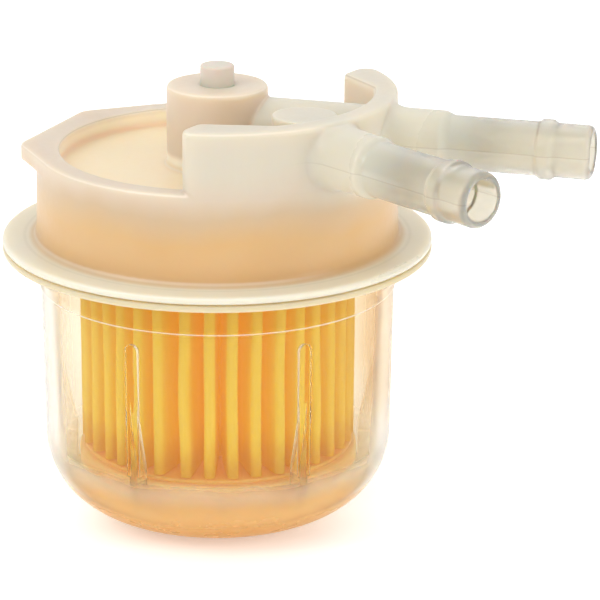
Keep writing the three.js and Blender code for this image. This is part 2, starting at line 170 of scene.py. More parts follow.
# camera, in degrees and in millimetres from the middle of the flange's top face
CAMERA_AZIMUTH = 32.5
CAMERA_PITCH = 18.66
CAMERA_ROLL = 0.41
CAMERA_RIGHT = 12.76
CAMERA_UP = -10.62
CAMERA_DISTANCE = 418.2
CAMERA_LENS = 162.75

# soft boxes in the sky: degrees to the right of the camera, degrees up, cosines of the angles
# where the glow starts and is full, gain
SKY_LOW = 0.80
SKY_BOXES = (
    (-70, 40, 0.80, 0.99, 0.55),
    (50, 25, 0.93, 0.98, 0.65),
    (180, 50, 0.85, 0.99, 0.4),
    (0, 90, 0.50, 1.00, 0.35),
    (105, 0, 0.60, 0.95, -0.45),
    (-105, 0, 0.60, 0.95, -0.30),
)
FLOOR_SIZE = 3.0  # metres
FLOOR_DROP = 0.0002  # metres
FLOOR_GLOW = 0.3

# fine marks, the reach of the painted step highlight, and the sides of the tints and of the painted
# amber reflection
SEAM_REACH = 0.16
RING_MARK = 29.6
RING_MARK_REACH = 0.5
STEP_HIGHLIGHT_REACH = 0.2
TAIL_CLEARNESS = 0.75
CLOUD_HEIGHT = 5
REFLECTION_HEADING = 32.7  # side of the bowl painted with an amber reflection of the lit paper, in degrees from +X
MILKY_HEADING = -57.3  # side of the bowl with the milkier bottom, in degrees from +X

CAP_VOXEL = 0.26
ROUND = 192
BEVEL_STEPS = 4


# ---- mesh tools ----

def rounded(corners, steps=6):
    """Outline points through corners (x, y, radius), each corner with a radius turned into an arc."""
    points = []
    count = len(corners)
    for i, (x, y, radius) in enumerate(corners):
        here = Vector((x, y))
        if radius <= 0:
            points.append(here)
            continue
        before = Vector(corners[i - 1][:2]) - here
        after = Vector(corners[(i + 1) % count][:2]) - here
        angle = before.angle(after)
        reach = radius / math.tan(angle / 2)
        start = here + before.normalized() * reach
        inwards = (before.normalized() + after.normalized()).normalized()
        centre = here + inwards * radius / math.sin(angle / 2)
        turn = (start - centre).angle_signed(here + after.normalized() * reach - centre)
        for k in range(steps + 1):
            swing = Matrix.Rotation(-turn * k / steps, 2)
            points.append(centre + swing @ (start - centre))
    return points


def arc(centre, radius, start, end, steps):
    """Outline points on a round stretch, from one angle to another in radians."""
    points = []
    for k in range(steps + 1):
        angle = start + (end - start) * k / steps
        points.append((centre[0] + radius * math.cos(angle), centre[1] + radius * math.sin(angle)))
    return points


def turned(points, segments=ROUND, closed=False):
    """Mesh turned about Z from (radius, height) points. Points on the axis close it."""
    bm = bmesh.new()
    rings = []
    for point in points:
        if abs(point[0]) < 1e-6:
            rings.append([bm.verts.new((0, 0, point[1]))])
            continue
        ring = []
        for k in range(segments):
            angle = 2 * math.pi * k / segments
            across = point[0] * math.cos(angle)
            along = point[0] * math.sin(angle)
            ring.append(bm.verts.new((across, along, point[1])))
        rings.append(ring)
    pairs = list(zip(rings, rings[1:]))
    if closed:
        pairs.append((rings[-1], rings[0]))
    for low, high in pairs:
        for k in range(segments):
            nxt = (k + 1) % segments
            if len(low) == 1:
                bm.faces.new((low[0], high[nxt], high[k]))
            elif len(high) == 1:
                bm.faces.new((low[k], low[nxt], high[0]))
            else:
                bm.faces.new((low[k], low[nxt], high[nxt], high[k]))
    bmesh.ops.recalc_face_normals(bm, faces=bm.faces)
    return bm


def prism(outline, bottom, top, edge=0.0, both=False):
    """Upright prism over an outline, with the edges of its top, or of both ends, rounded."""
    bm = bmesh.new()
    low = [bm.verts.new((x, y, bottom)) for x, y in outline]
    high = [bm.verts.new((x, y, top)) for x, y in outline]
    count = len(outline)
    ends = [bm.faces.new(high), bm.faces.new(low[::-1])]
    for k in range(count):
        nxt = (k + 1) % count
        bm.faces.new((low[k], low[nxt], high[nxt], high[k]))
    bmesh.ops.recalc_face_normals(bm, faces=bm.faces)
    if edge > 0:
        rims = [line for end in (ends if both else ends[:1]) for line in end.edges]
        bmesh.ops.bevel(
            bm, geom=rims, offset=edge, segments=BEVEL_STEPS, profile=0.5, affect="EDGES")
    return bm


def moved(bm, *matrices):
    """Puts a mesh through matrices, one after the other."""
    for matrix in matrices:
        bmesh.ops.transform(bm, matrix=matrix, verts=bm.verts)
    return bm


def radial(points, tail):
    """Turned body laid along the axis of a hose tail."""
    lay = Matrix.Rotation(math.pi / 2, 4, "Y")
    swing = Matrix.Rotation(math.radians(tail["angle"]), 4, "Z")
    lift = Matrix.Translation((0, 0, tail["height"]))
    return moved(turned(points, 64), lay, swing, lift)


def make_object(name, bm):
    """Object in the scene made from a mesh."""
    mesh = bpy.data.meshes.new(name)
    bm.to_mesh(mesh)
    bm.free()
    piece = bpy.data.objects.new(name, mesh)
    bpy.context.scene.collection.objects.link(piece)
    return piece


def apply_modifiers(piece):
    """Makes what a piece's modifiers give its own mesh."""
    graph = bpy.context.evaluated_depsgraph_get()
    mesh = bpy.data.meshes.new_from_object(piece.evaluated_get(graph))
    old = piece.data
    piece.modifiers.clear()
    piece.data = mesh
    bpy.data.meshes.remove(old)
    return piece


def combine(piece, bm, operation):
    """Joins a solid to a piece, or cuts it away."""
    other = make_object("operand", bm)
    step = piece.modifiers.new("combine", "BOOLEAN")
    step.operation = operation
    step.solver = "MANIFOLD"
    step.object = other
    apply_modifiers(piece)
    bpy.data.objects.remove(other)
    return piece


def finish_piece(piece, node_names, material, smooth_angle=35):
    """Scales a piece to metres, shades it, and hands it to the frame."""
    piece.data.transform(Matrix.Scale(MM, 4))
    piece.data.materials.clear()
    piece.data.materials.append(material)
    piece.data.polygons.foreach_set("use_smooth", [True] * len(piece.data.polygons))
    if smooth_angle < 180:
        piece.data.set_sharp_from_angle(angle=math.radians(smooth_angle))
    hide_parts(*node_names)
    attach(piece, "root")
    return piece


# ---- material tools ----

class Shader:
    """One material's node tree, with short calls for the nodes it uses."""

    def __init__(self, name):
        self.material = bpy.data.materials.new(name)
        self.material.use_nodes = True
        self.tree = self.material.node_tree
        self.principled = self.tree.nodes["Principled BSDF"]

    def add(self, kind, **settings):
        """New node with its settings."""
        node = self.tree.nodes.new(kind)
        for key, value in settings.items():
            setattr(node, key, value)
        return node

    def link(self, source, target):
        self.tree.links.new(source, target)

    def set(self, **values):
        """Values for inputs of the principled shader, named with underscores for spaces."""
        for key, value in values.items():
            self.principled.inputs[key.replace("_", " ")].default_value = value

    def place(self):
        """Position in millimetres, as x, y and z."""
        scaled = self.add("ShaderNodeVectorMath", operation="SCALE")
        scaled.inputs["Scale"].default_value = 1 / MM
        self.link(self.add("ShaderNodeNewGeometry").outputs["Position"], scaled.inputs[0])
        parts = self.add("ShaderNodeSeparateXYZ")
        self.link(scaled.outputs[0], parts.inputs[0])
        return parts.outputs

    def noise(self, scale, detail, stretch=(1, 1, 1)):
        """Noise over the position in metres."""
        mapping = self.add("ShaderNodeMapping")
        mapping.inputs["Scale"].default_value = stretch
        self.link(self.add("ShaderNodeNewGeometry").outputs["Position"], mapping.inputs["Vector"])
        texture = self.add("ShaderNodeTexNoise")
        texture.inputs["Scale"].default_value = scale
        texture.inputs["Detail"].default_value = detail
        self.link(mapping.outputs["Vector"], texture.inputs["Vector"])
        return texture.outputs["Fac"]

    def spread(self, source, low, high, to_low=0.0, to_high=1.0):
        """Soft step from one value to another while the source goes from low to high."""
        node = self.add("ShaderNodeMapRange", clamp=True)
        node.interpolation_type = "SMOOTHSTEP"
        keys = ("From Min", "From Max", "To Min", "To Max")
        for key, value in zip(keys, (low, high, to_low, to_high)):
            node.inputs[key].default_value = value
        self.link(source, node.inputs["Value"])
        return node.outputs["Result"]

    def ramp(self, source, stops):
        """Colour by value: stops are (value, colour), in rising order."""
        low, high = stops[0][0], stops[-1][0]
        node = self.add("ShaderNodeValToRGB")
        elements = node.color_ramp.elements
        while len(elements) < len(stops):
            elements.new(1.0)
        for element, (value, colour) in zip(elements, stops):
            element.position = (value - low) / (high - low)
            element.color = (*colour, 1.0)
        scaled = self.add("ShaderNodeMapRange", clamp=True)
        scaled.inputs["From Min"].default_value = low
        scaled.inputs["From Max"].default_value = high
        self.link(source, scaled.inputs["Value"])
        self.link(scaled.outputs["Result"], node.inputs["Fac"])
        return node.outputs["Color"]

    def near(self, source, value, reach):
        """1 where the source is at the value, 0 from reach away on."""
        offset = self.math("ABSOLUTE", self.math("SUBTRACT", source, value), 0.0)
        return self.spread(offset, 0.0, reach, 1.0, 0.0)

    def radius(self, x, y):
        """Distance from the filter's axis."""
        return self.math("SQRT", self.math("ADD", self.product(x, x), self.product(y, y)), 0.0)

    def along(self, x, y, heading):
        """Distance along a level direction, given in degrees from +X."""
        turn = math.radians(heading)
        return self.math("ADD", self.product(x, math.cos(turn)), self.product(y, math.sin(turn)))

    def slopes(self, x, y, radius):
        """How far the surface faces up, and how far it faces away from the filter's axis."""
        normal = self.add("ShaderNodeSeparateXYZ")
        self.link(self.add("ShaderNodeNewGeometry").outputs["Normal"], normal.inputs[0])
        across, along, up = normal.outputs
        outwards = self.math("ADD", self.product(across, x), self.product(along, y))
        return up, self.math("DIVIDE", outwards, radius)

    def product(self, first, *others):
        """All values multiplied, from the first on."""
        for other in others:
            first = self.math("MULTIPLY", first, other)
        return first

    def greatest(self, first, *others):
        """The highest of all values."""
        for other in others:
            first = self.math("MAXIMUM", first, other)
        return first

    def rest(self, part):
        """What is left of 1 after a part."""
        return self.math("SUBTRACT", 1.0, part)

    def math(self, operation, first, second):
        """One step of arithmetic between sockets or numbers."""
        node = self.add("ShaderNodeMath", operation=operation)
        for socket, value in zip(node.inputs, (first, second)):
            if isinstance(value, (int, float)):
                socket.default_value = value
            else:
                self.link(value, socket)
        return node.outputs[0]

    def mix(self, factor, first, second):
        """Colour between two others. The sockets are the factor, A and B of a colour mix."""
        node = self.add("ShaderNodeMix", data_type="RGBA")
        sockets = (node.inputs[0], node.inputs[6], node.inputs[7])
        for socket, value in zip(sockets, (factor, first, second)):
            if isinstance(value, (int, float)):
                socket.default_value = value
            elif isinstance(value, tuple):
                socket.default_value = (*value, 1.0)
            else:
                self.link(value, socket)
        return node.outputs[2]

    def bump(self, height, distance, strength):
        node = self.add("ShaderNodeBump")
        node.inputs["Distance"].default_value = distance * MM
        node.inputs["Strength"].default_value = strength
        self.link(height, node.inputs["Height"])
        self.link(node.outputs["Normal"], self.principled.inputs["Normal"])

    def colour(self, source):
        self.link(source, self.principled.inputs["Base Color"])

    def roughness(self, source):
        self.link(source, self.principled.inputs["Roughness"])


# ---- materials ----

NYLON_PALE = (0.64, 0.59, 0.48)
NYLON_RIM = (0.65, 0.55, 0.43)
NYLON_SOFT = (0.60, 0.45, 0.28)
NYLON_WARM = (0.66, 0.43, 0.18)
NYLON_FLANGE = (0.88, 0.74, 0.57)
NYLON_TAIL = (0.90, 0.86, 0.76)
NYLON_TAIL_ROOT = (0.67, 0.62, 0.50)
NYLON_BOSS = (0.72, 0.59, 0.45)
NYLON_FLOOR = (0.90, 0.70, 0.46)
# painted fill light: the recess walls and the inward faces get this lighter colour against their shade
NYLON_RECESS_FILL = (0.94, 0.84, 0.70)
NYLON_CLOUD = (0.74, 0.62, 0.46)
# Below: the dark colour of the mould seams and of the painted shade on inner top edges, then the
# painted highlight for outer edges.
SEAM_AND_EDGE_SHADE = (0.36, 0.29, 0.20)
EDGE_HIGHLIGHT = (0.92, 0.82, 0.72)
BOWL_CLEAR = (0.93, 0.87, 0.76)
# amber for the neck's tint and for the painted reflection of the paper on one side
BOWL_AMBER_TINT_AND_REFLECTION = (0.83, 0.66, 0.44)
BOWL_HAZE = (0.70, 0.36, 0.09)
BOWL_MILK = (0.88, 0.60, 0.28)
BOWL_PALE = (0.98, 0.95, 0.88)
BOWL_CREAM = (1.0, 0.94, 0.82)
# colour of the painted glow in the bowl's milky bottom
BOWL_GLOW = (0.95, 0.68, 0.32)
BOWL_VEIL = 0.02
BOWL_EDGE_VEIL = 0.75
# painted highlight along the step below the bowl's flange
BOWL_STEP_HIGHLIGHT = (1.0, 0.93, 0.80)
BOWL_FLANGE_HAZE = (0.85, 0.64, 0.40)
# paper colours from ridge to valley, with painted shade darkening the valleys
PAPER_RIDGE_LIT = (0.97, 0.73, 0.09)
PAPER_FOLD = (0.94, 0.64, 0.035)
PAPER_VALLEY_SHADE = (0.89, 0.57, 0.02)
# colour of the paper's painted glow
PAPER_GLOW = (0.90, 0.58, 0.02)
PAPER_SOAKED = (0.72, 0.30, 0.02)
PAPER_FIBRE = (1.0, 0.74, 0.28)


def cap_tints(shader, z, radius, tail, tail_colour):
    """Colour by place: warm low on the drum, orange on the recess floor, paler further up, with the
    recess painted lighter as fill light against its shade.
    """
    cloud = shader.product(shader.math("SUBTRACT", shader.noise(110, 1), 0.5), CLOUD_HEIGHT)
    body = shader.ramp(shader.math("ADD", z, cloud), [
        (FLANGE_TOP, NYLON_WARM),
        (FLANGE_TOP + 6, NYLON_WARM),
        (FLANGE_TOP + 10, NYLON_SOFT),
        (RIM_TOP - 0.5, NYLON_RIM),
        (RIM_TOP + 4, NYLON_PALE),
        (BOSS_TOP, NYLON_PALE),
    ])
    on_flange = shader.spread(radius, DRUM_FOOT_RADIUS + 0.2, DRUM_FOOT_RADIUS + 1.5)
    at_flange = shader.spread(z, FLANGE_TOP + 0.2, FLANGE_TOP + 1.2, 1.0, 0.0)
    with_flange = shader.mix(shader.product(on_flange, at_flange), body, NYLON_FLANGE)
    above_drum = shader.spread(z, RIM_TOP - 4.5, RIM_TOP - 0.5)
    with_tails = shader.mix(shader.product(tail, above_drum), with_flange, tail_colour)
    # Painted fill light: the recess gets lighter colours than the rest of the cap, against the shade in
    # it.
    in_recess = shader.spread(radius, RECESS_RADIUS + 0.1, RECESS_RADIUS + 0.7, 1.0, 0.0)
    below_rim = shader.spread(z, RIM_TOP - 1.2, RIM_TOP - 0.2, 1.0, 0.0)
    above_floor = shader.spread(z, RECESS_FLOOR + 0.3, RECESS_FLOOR + 1.3)
    recess = shader.mix(above_floor, NYLON_FLOOR, NYLON_RECESS_FILL)
    with_recess = shader.mix(shader.product(below_rim, in_recess), with_tails, recess)
    ring_mark = shader.product(shader.near(radius, RING_MARK, RING_MARK_REACH), at_flange, 0.5)
    with_ring = shader.mix(ring_mark, with_recess, NYLON_CLOUD)
    boss = shader.spread(radius, BOSS_RADIUS + 0.2, BOSS_RADIUS + 0.8, 0.8, 0.0)
    boss_height = shader.spread(z, RECESS_FLOOR + 1, RECESS_FLOOR + 7)
    return shader.mix(shader.product(boss, boss_height), with_ring, NYLON_BOSS)


def cap_edges(shader, place, radius, tail, seam, tinted):
    """Painted fill light on inner faces, painted shade along inner top edges, dark mould seams, and
    painted highlights on outer edges.
    """
    x, y, z = place
    up, out = shader.slopes(x, y, radius)
    above_floor = shader.spread(z, RECESS_FLOOR, RECESS_FLOOR + 1)
    # Painted fill light: faces turned towards the axis are made paler.
    inner_face_fill = shader.product(shader.spread(out, -0.6, -0.3, 0.4, 0.0), above_floor)
    with_inner_fill = shader.mix(inner_face_fill, tinted, NYLON_RECESS_FILL)
    edge = shader.near(up, 0.65, 0.3)
    on_top = shader.spread(z, RIM_TOP - 1.2, RIM_TOP - 0.6)
    # Painted shade: a dark line along inward-facing top edges. The same dark colour marks the mould
    # seams.
    inner_edge_shade = shader.product(edge, on_top, shader.spread(out, -0.6, -0.3, 0.5, 0.0))
    # Painted highlight: a light line along outward-facing edges, except on the tails.
    outer_edge_highlight = shader.product(edge, shader.spread(out, 0.3, 0.6, 0.0, 0.4), shader.rest(tail))
    dark = shader.greatest(shader.product(seam, 0.3), inner_edge_shade)
    return shader.mix(outer_edge_highlight, shader.mix(dark, with_inner_fill, SEAM_AND_EDGE_SHADE), EDGE_HIGHLIGHT)


def cap_plastic():
    """Milky nylon that turns clearer along the hose tails."""
    shader = Shader("cap_plastic")
    x, y, z = shader.place()
    radius = shader.radius(x, y)
    tail = shader.spread(x, WALL_OUTER - 6, WALL_OUTER + 1)
    clear = shader.spread(x, WALL_OUTER + 3.5, WALL_OUTER + 17, 0.0, TAIL_CLEARNESS)
    tail_colour = shader.mix(clear, NYLON_TAIL_ROOT, NYLON_TAIL)
    seam_height = shader.spread(y, -2, 2, INLET_TAIL["height"], OUTLET_TAIL["height"])
    seam = shader.product(shader.near(z, seam_height, SEAM_REACH), tail)
    tinted = cap_tints(shader, z, radius, tail, tail_colour)
    edged = cap_edges(shader, (x, y, z), radius, tail, seam, tinted)
    clouds = shader.spread(shader.noise(90, 1), 0.3, 0.7, 0.0, 0.1)
    shader.colour(shader.mix(clouds, edged, NYLON_CLOUD))
    shader.link(clear, shader.principled.inputs["Transmission Weight"])
    grain = shader.spread(shader.noise(900, 2), 0.3, 0.7, 0.31, 0.38)
    gloss = shader.spread(clear, 0.0, 0.05, 0.0, 0.24)
    shader.roughness(shader.math("SUBTRACT", grain, gloss))
    shader.bump(shader.math("ADD", shader.noise(900, 1), shader.product(seam, 4)), 0.01, 0.4)
    shader.set(IOR=1.5, Sheen_Weight=0.12, Sheen_Roughness=0.5)
    shader.set(Subsurface_Weight=0.9, Subsurface_Scale=4 * MM, Subsurface_Radius=(1.0, 0.75, 0.5))
    return shader.material


def bowl_haze(shader, x, y, z, height, edge_on):
    """Milky bottom: weaker where the wall is seen edge on, and on the side away from its heading."""
    base = shader.spread(z, 4, 8, 1.0, 0.0)
    faced = shader.greatest(shader.spread(edge_on, 0.45, 0.9, 1.0, 0.2), base)
    side = shader.spread(shader.along(x, y, MILKY_HEADING), -12, 12, 0.4, 1.0)
    return shader.product(shader.spread(height, 5, 13.5, 0.7, 0.0), faced, side)


def bowl_tints(shader, x, y, z, height, bottom):
    """Colour by place: a painted amber reflection of the paper on one side, an amber tint in the neck,
    orange and cream in the milky bottom.
    """
    # Painted reflection: one side of the wall is tinted amber by place, standing in for the lit paper's
    # orange light. The neck gets an amber tint.
    reflection_side = shader.spread(shader.along(x, y, REFLECTION_HEADING), 18, BOWL_RADIUS)
    amber = shader.product(reflection_side, shader.spread(z, 12, 22))
    neck = shader.spread(z, BOWL_STEP_HEIGHT - 0.2, BOWL_STEP_HEIGHT + 0.2, 0.0, 0.4)
    wall = shader.mix(shader.greatest(amber, neck), BOWL_CLEAR, BOWL_AMBER_TINT_AND_REFLECTION)
    low = shader.ramp(height, [(3, BOWL_HAZE), (8, BOWL_MILK), (13, BOWL_PALE)])
    milky_side = shader.spread(shader.along(x, y, MILKY_HEADING), 2, 18)
    milky = shader.mix(milky_side, BOWL_CREAM, low)
    return shader.mix(shader.spread(bottom, 0.05, 0.45), wall, milky)


def bowl_plastic():
    """Clear nylon with an amber tint in its neck, a painted amber reflection of the paper on one side
    and a painted highlight along its step, milky in its thick bottom, which has a painted glow, and in
    its flange.
    """
    shader = Shader("bowl_plastic")
    x, y, z = shader.place()
    cloud = shader.product(shader.math("SUBTRACT", shader.noise(120, 1), 0.5), 2)
    height = shader.math("ADD", z, cloud)
    edge_on = shader.add("ShaderNodeLayerWeight").outputs["Facing"]
    bottom = bowl_haze(shader, x, y, z, height, edge_on)
    flange = shader.spread(z, BOWL_TOP - BOWL_FLANGE - 0.4, BOWL_TOP - BOWL_FLANGE, 0.0, 0.8)
    outside = shader.spread(shader.radius(x, y), BOWL_RADIUS - 0.5, BOWL_RADIUS - 0.2)
    # Painted highlight: a light line round the step on the bowl's outside, which also makes the wall
    # less clear there.
    step = shader.product(shader.near(z, BOWL_STEP_HEIGHT, STEP_HIGHLIGHT_REACH), outside, 0.6)
    with_step_highlight = shader.mix(step, bowl_tints(shader, x, y, z, height, bottom), BOWL_STEP_HIGHLIGHT)
    shader.colour(shader.mix(flange, with_step_highlight, BOWL_FLANGE_HAZE))
    # Painted glow: the milky bottom gives off a little orange light of its own.
    shader.link(shader.product(bottom, 0.08), shader.principled.inputs["Emission Strength"])
    veil = shader.spread(edge_on, 0.45, 1.0, BOWL_VEIL, BOWL_EDGE_VEIL)
    haze = shader.greatest(bottom, flange, step, veil)
    shader.link(shader.rest(haze), shader.principled.inputs["Transmission Weight"])
    blur = shader.spread(shader.noise(300, 3), 0.3, 0.7, 0.02, 0.05)
    shader.roughness(shader.math("ADD", blur, shader.product(haze, 0.35)))
    shader.bump(shader.noise(110, 2), 0.02, 0.3)
    shader.set(IOR=1.2, Emission_Color=(*BOWL_GLOW, 1.0))
    shader.set(Subsurface_Weight=1.0, Subsurface_Scale=4 * MM, Subsurface_Radius=(1.0, 0.8, 0.5))
    return shader.material


def paper():
    """Resin-treated paper: light ridges and orange folds, the valleys darker as painted shade, a
    painted glow strongest in the valleys, and darker where it stands in the adhesive.
    """
    shader = Shader("filter_paper")
    z = shader.place()[2]
    depth = shader.add("ShaderNodeAttribute", attribute_name="ridge").outputs["Fac"]
    blotch = shader.product(shader.noise(260, 4, (1, 1, 0.2)), 0.3)
    # Painted shade: colour by fold depth, darker and deeper orange towards the valleys, lightest on the
    # ridges.
    folded = shader.ramp(shader.math("ADD", depth, blotch), [
        (0.1, PAPER_VALLEY_SHADE),
        (0.85, PAPER_FOLD),
        (1.15, PAPER_RIDGE_LIT),
    ])
    soak_height = shader.math("ADD", z, shader.product(shader.noise(400, 2), 4))
    soak = shader.spread(soak_height, paper_low.z + 2, paper_low.z + 9, 0.6, 0.0)
    soaked = shader.mix(soak, folded, PAPER_SOAKED)
    fibre = shader.spread(shader.noise(3500, 4, (1, 1, 0.6)), 0.35, 0.7, 0.0, 0.12)
    shader.colour(shader.mix(fibre, soaked, PAPER_FIBRE))
    # Painted glow: the paper gives off a little light of its own, a little more in the valleys.
    glow = shader.spread(depth, 0.3, 1.0, 0.20, 0.12)
    shader.link(glow, shader.principled.inputs["Emission Strength"])
    shader.roughness(shader.spread(shader.noise(1500, 2), 0.3, 0.7, 0.72, 0.9))
    shader.bump(shader.noise(3000, 4), 0.05, 0.6)
    shader.set(Emission_Color=(*PAPER_GLOW, 1.0))
    return shader.material


def soft_plastic(name, light, dark, roughness, subsurface=0.3, glow=0.0):
    """Plain moulded or cast material with clouds of colour, a fine grain and a painted glow where one
    is given.
    """
    shader = Shader(name)
    cloud = shader.spread(shader.noise(150, 4), 0.3, 0.7)
    shader.colour(shader.mix(cloud, light, dark))
    grain = shader.spread(shader.noise(500, 3), 0.3, 0.7, roughness - 0.06, roughness + 0.08)
    shader.roughness(grain)
    shader.bump(shader.noise(900, 3), 0.02, 0.5)
    shader.set(IOR=1.5, Subsurface_Weight=subsurface, Subsurface_Scale=2 * MM)
    # painted glow: emission in the material's own light colour
    shader.set(Emission_Color=(*light, 1.0), Emission_Strength=glow)
    return shader.material


# ---- cap ----

def cap_body():
    """Drum, flange, recess floor and boss, turned in one piece."""
    seat_radius = PLUG_RADIUS + 0.05
    seat = BOSS_TOP - PLUG_SEAT_DEPTH
    return turned(rounded([
        (0, SOCKET_TOP, 0),
        (SOCKET_BORE, SOCKET_TOP, 0.5),
        (SOCKET_BORE, SOCKET_MOUTH, 0.2),
        (SOCKET_OUTER, SOCKET_MOUTH, 0.4),
        (SOCKET_OUTER, FLOOR_UNDERSIDE, 1.0),
        (DRUM_INNER, FLOOR_UNDERSIDE, 1.2),
        (DRUM_INNER, CAP_UNDERSIDE, 0.1),
        (FLANGE_RADIUS, CAP_UNDERSIDE, FLANGE_EDGE),
        (FLANGE_RADIUS, FLANGE_TOP, FLANGE_EDGE),
        (DRUM_FOOT_RADIUS, FLANGE_TOP, 1.2),
        (DRUM_RIM_RADIUS, RIM_TOP, 0.6),
        (RECESS_RADIUS, RIM_TOP, 0.4),
        (RECESS_RADIUS, RECESS_FLOOR, 0.8),
        (BOSS_RADIUS, RECESS_FLOOR, 0.8),
        (BOSS_RADIUS - 0.05, BOSS_TOP, 0.6),
        (seat_radius, BOSS_TOP, 0.1),
        (seat_radius, seat, 0),
        (0, seat, 0),
    ]), ROUND)


def mounting_tab():
    """Flat-edged plate whose rounded corners run in tangents to the drum."""
    corner = Vector((-(TAB_EDGE - TAB_CORNER), TAB_HALF_WIDTH - TAB_CORNER))
    heading = math.atan2(corner.y, corner.x)
    tangent = heading - math.acos((DRUM_RIM_RADIUS - TAB_CORNER) / corner.length)
    join = (RECESS_RADIUS + DRUM_RIM_RADIUS) / 2
    outline = [(DRUM_RIM_RADIUS * math.cos(tangent), DRUM_RIM_RADIUS * math.sin(tangent))]
    outline += arc(corner, TAB_CORNER, tangent, math.pi, 8)
    outline += [(x, -y) for x, y in reversed(outline)]
    outline += arc((0, 0), join, 2 * math.pi - tangent, tangent, 24)
    tab = prism(outline, RIM_TOP - TAB_THICKNESS, RIM_TOP, 0.4)
    return moved(tab, Matrix.Rotation(math.radians(TAB_TURN), 4, "Z"))


def wall_end(end_x):
    """Outline of one end of the raised wall, from its outer face round to its thick inner corner."""
    corner_x = end_x + WALL_CORNER
    corner_y = math.sqrt((WALL_OUTER - WALL_CORNER) ** 2 - corner_x ** 2)
    outer = math.atan2(corner_y, corner_x)
    lug_y = math.sqrt(LUG_INNER ** 2 - end_x ** 2)
    points = arc((0, 0), WALL_OUTER, 0, outer, 24)
    points += arc((corner_x, corner_y), WALL_CORNER, outer, math.pi, 8)[1:]
    points.append((end_x, lug_y + LUG_BEVEL))
    points.append((end_x + LUG_BEVEL, lug_y))
    points += arc((0, 0), WALL_INNER, math.radians(LUG_START), 0, 12)[:-1]
    return points


def raised_wall():
    """C-shaped wall on the hose-tail side, thickened at both ends."""
    far = wall_end(WALL_FAR_END)
    near = [(x, -y) for x, y in wall_end(WALL_NEAR_END)]
    outline = far + [(WALL_INNER, 0.0)] + near[:0:-1]
    return prism(outline, RECESS_FLOOR - 0.9, WALL_TOP, 0.7)


def hose_tail(tail, inner_end):
    """Straight tail with a thicker root and one bead."""
    bead_start = BEAD_MIDDLE - BEAD_WIDTH / 2
    bead_end = BEAD_MIDDLE + BEAD_WIDTH / 2
    corners = [
        (0, inner_end, 0),
        (TAIL_ROOT_RADIUS, inner_end, 0),
        (TAIL_ROOT_RADIUS, TAIL_ROOT_END, 0.6),
        (TAIL_RADIUS, TAIL_ROOT_END + 1.1, 0.6),
        (TAIL_RADIUS, bead_start, 0.2),
        (BEAD_RADIUS, bead_start + 0.4, 0.3),
        (BEAD_RADIUS, bead_end - 0.4, 0.3),
        (TAIL_RADIUS, bead_end, 0.2),
        (TAIL_RADIUS, tail["tip"], 0.9),
        (0, tail["tip"], 0),
    ]
    return radial(rounded(corners, 4), tail)


def root_flare(tail):
    """Fillet that runs from the raised wall out onto a hose tail, cut off below the wall's top."""
    points = [(0, WALL_INNER + 1), (TAIL_ROOT_RADIUS + FLARE_SPREAD, WALL_INNER + 1)]
    for k in range(9):
        turn = math.pi / 2 * k / 8
        radius = TAIL_ROOT_RADIUS + FLARE_SPREAD * (1 - math.sin(turn))
        points.append((radius, FLARE_START + FLARE_LENGTH * (1 - math.cos(turn))))
    points.append((0, FLARE_START + FLARE_LENGTH))
    flare = radial(points, tail)
    for vert in flare.verts:
        vert.co.z = min(vert.co.z, FLARE_TOP)
    return flare


def tail_bore(tail, start):
    """What is cut out along a hose tail, from a distance from the filter's axis to past its tip."""
    end = tail["tip"] + 1
    return radial([(0, start), (TAIL_BORE, start), (TAIL_BORE, end), (0, end)], tail)


def upright(radius, bottom, top, x=0.0, y=0.0):
    """Solid cylinder along Z."""
    pole = turned([(0, bottom), (radius, bottom), (radius, top), (0, top)], 64)
    return moved(pole, Matrix.Translation((x, y, 0)))


def upper_housing():
    """The cap: its solids joined, its ducts cut out, then remeshed and smoothed into one moulding."""
    elbow_x = ELBOW_DISTANCE * math.cos(math.radians(INLET_TAIL["angle"]))
    elbow_y = ELBOW_DISTANCE * math.sin(math.radians(INLET_TAIL["angle"]))
    elbow_height = INLET_TAIL["height"]
    riser_top = OUTLET_TAIL["height"] + RISER_BORE
    cap = make_object("cap", cap_body())
    for solid in (
        mounting_tab(),
        raised_wall(),
        upright(ELBOW_RADIUS, RECESS_FLOOR - 1, elbow_height + ELBOW_RADIUS, elbow_x, elbow_y),
        hose_tail(INLET_TAIL, ELBOW_DISTANCE),
        hose_tail(OUTLET_TAIL, OUTLET_START),
        root_flare(INLET_TAIL),
        root_flare(OUTLET_TAIL),
    ):
        combine(cap, solid, "UNION")
    for cutter in (
        upright(TAIL_BORE, FLOOR_UNDERSIDE - 1, elbow_height, elbow_x, elbow_y),
        tail_bore(INLET_TAIL, ELBOW_DISTANCE),
        tail_bore(OUTLET_TAIL, 0),
        upright(RISER_BORE, SOCKET_TOP - 1, riser_top),
        upright(PLUG_STEM + 0.1, riser_top - 1, BOSS_TOP + 1),
    ):
        combine(cap, cutter, "DIFFERENCE")
    remesh = cap.modifiers.new("remesh", "REMESH")
    remesh.mode = "VOXEL"
    remesh.voxel_size = CAP_VOXEL
    soften = cap.modifiers.new("soften", "SMOOTH")
    soften.factor = 0.5
    soften.iterations = 3
    apply_modifiers(cap)
    return finish_piece(cap, ["upper_housing"], cap_plastic(), 180)


# ---- bowl ----

